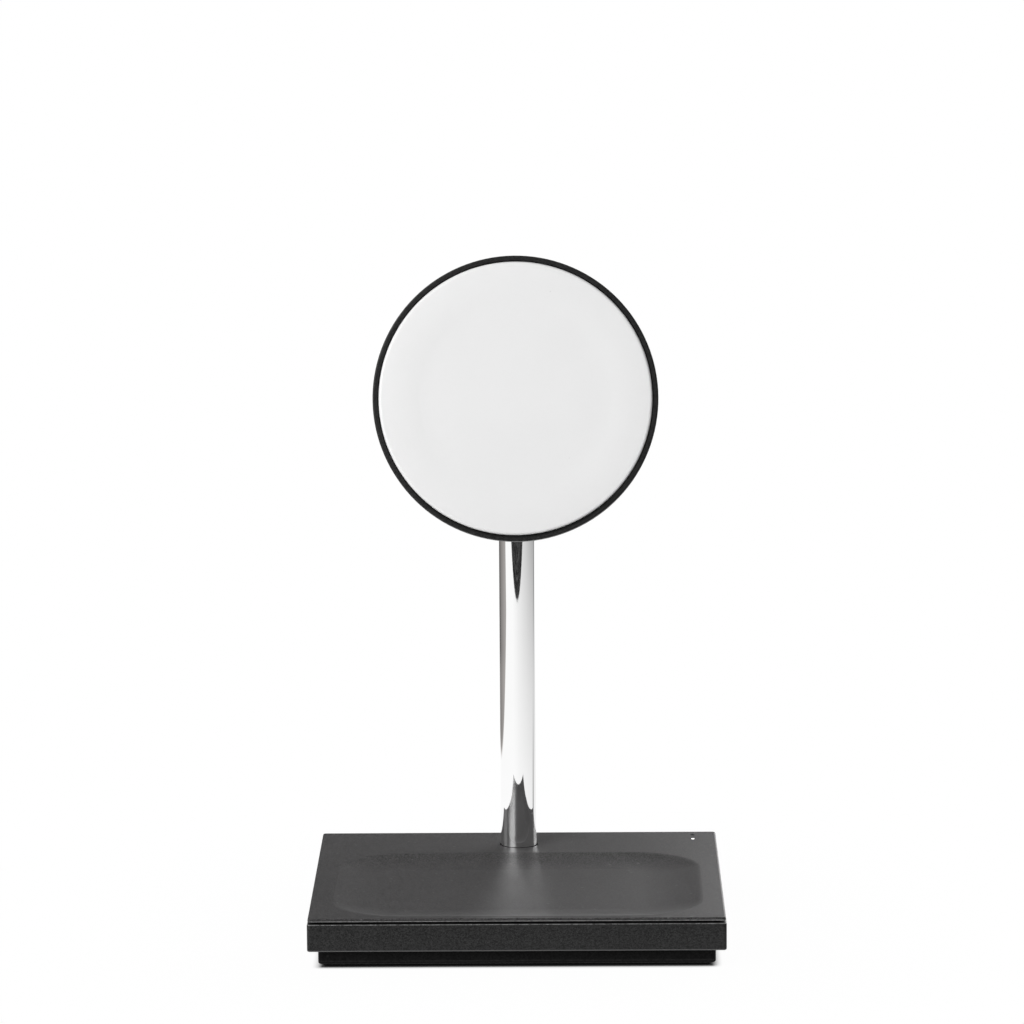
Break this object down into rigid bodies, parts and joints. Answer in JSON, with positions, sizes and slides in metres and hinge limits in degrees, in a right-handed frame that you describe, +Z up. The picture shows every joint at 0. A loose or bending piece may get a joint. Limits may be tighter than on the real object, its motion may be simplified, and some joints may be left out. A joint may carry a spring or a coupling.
{
  "type": "two-in-one magnetic wireless charger",
  "caption": "Square black desk charger with a shallow charging tray and a round white magnetic phone head that tilts on a chromed post.",
  "frame": {"origin": "middle of the base's underside, on the table", "axes": "+X to the right as seen from the front, +Y to the back where the post and the power inlet are, +Z up"},
  "size_m": [0.0892, 0.089, 0.145],
  "materials": {
    "soft_black": "soft-touch, fine grain",
    "housing_black": "fine matt texture",
    "plate_black": "matt powder coat",
    "foot_rubber": "matt",
    "post_chrome": "polished",
    "head_black": "fine matt texture",
    "face_white": "satin",
    "yoke_black": "satin coat",
    "screw_steel": "zinc plated",
    "plain_steel": "bare",
    "magnet_nickel": "nickel plated",
    "ferrite_grey": "dark sintered",
    "coil_copper": "enamelled wire",
    "board_green": "solder mask",
    "chip_black": "moulded",
    "capacitor_tan": "fired",
    "header_white": "moulded",
    "light_clear": "clear",
    "led_white": "moulded",
    "inlet_steel": "plated",
    "inlet_black": "moulded",
    "lead_black": "jacket",
    "foam_grey": "open cell"
  },
  "bodies": {
    "stand": {"foot_pad": "foot_rubber", "base_plate": "plate_black", "plate_screws": "screw_steel", "base_housing": "housing_black", "top_panel": "soft_black", "tray_coil": "coil_copper", "tray_ferrite": "ferrite_grey", "coil_foam": "foam_grey", "main_board": "board_green", "board_screws": "screw_steel", "control_chips": "chip_black", "power_inductors": "chip_black", "board_capacitors": "capacitor_tan", "lead_header": "header_white", "status_leds": "led_white", "light_guide": "light_clear", "usb_shell": "inlet_steel", "usb_tongue": "inlet_black", "post_tube": "post_chrome", "post_flange": "plain_steel", "post_screws": "screw_steel", "post_lead": "lead_black", "hinge_knuckle": "post_chrome"},
    "head": {"head_shell": "head_black", "face_disc": "face_white", "phone_coil": "coil_copper", "head_ferrite": "ferrite_grey", "magnet_ring": "magnet_nickel", "magnet_back_ring": "plain_steel", "coil_carrier": "head_black", "carrier_screws": "screw_steel", "hinge_yoke": "yoke_black", "yoke_screws": "screw_steel", "hinge_screws": "screw_steel", "friction_washers": "plain_steel", "head_lead": "lead_black"}
  },
  "joints": [
    {"name": "head_tilt", "type": "hinge", "parent": "stand", "child": "head", "pos_m": [0, 0.0315, 0.1112], "axis": [-1, 0, 0], "range_deg": [-11, 34]}
  ]
}
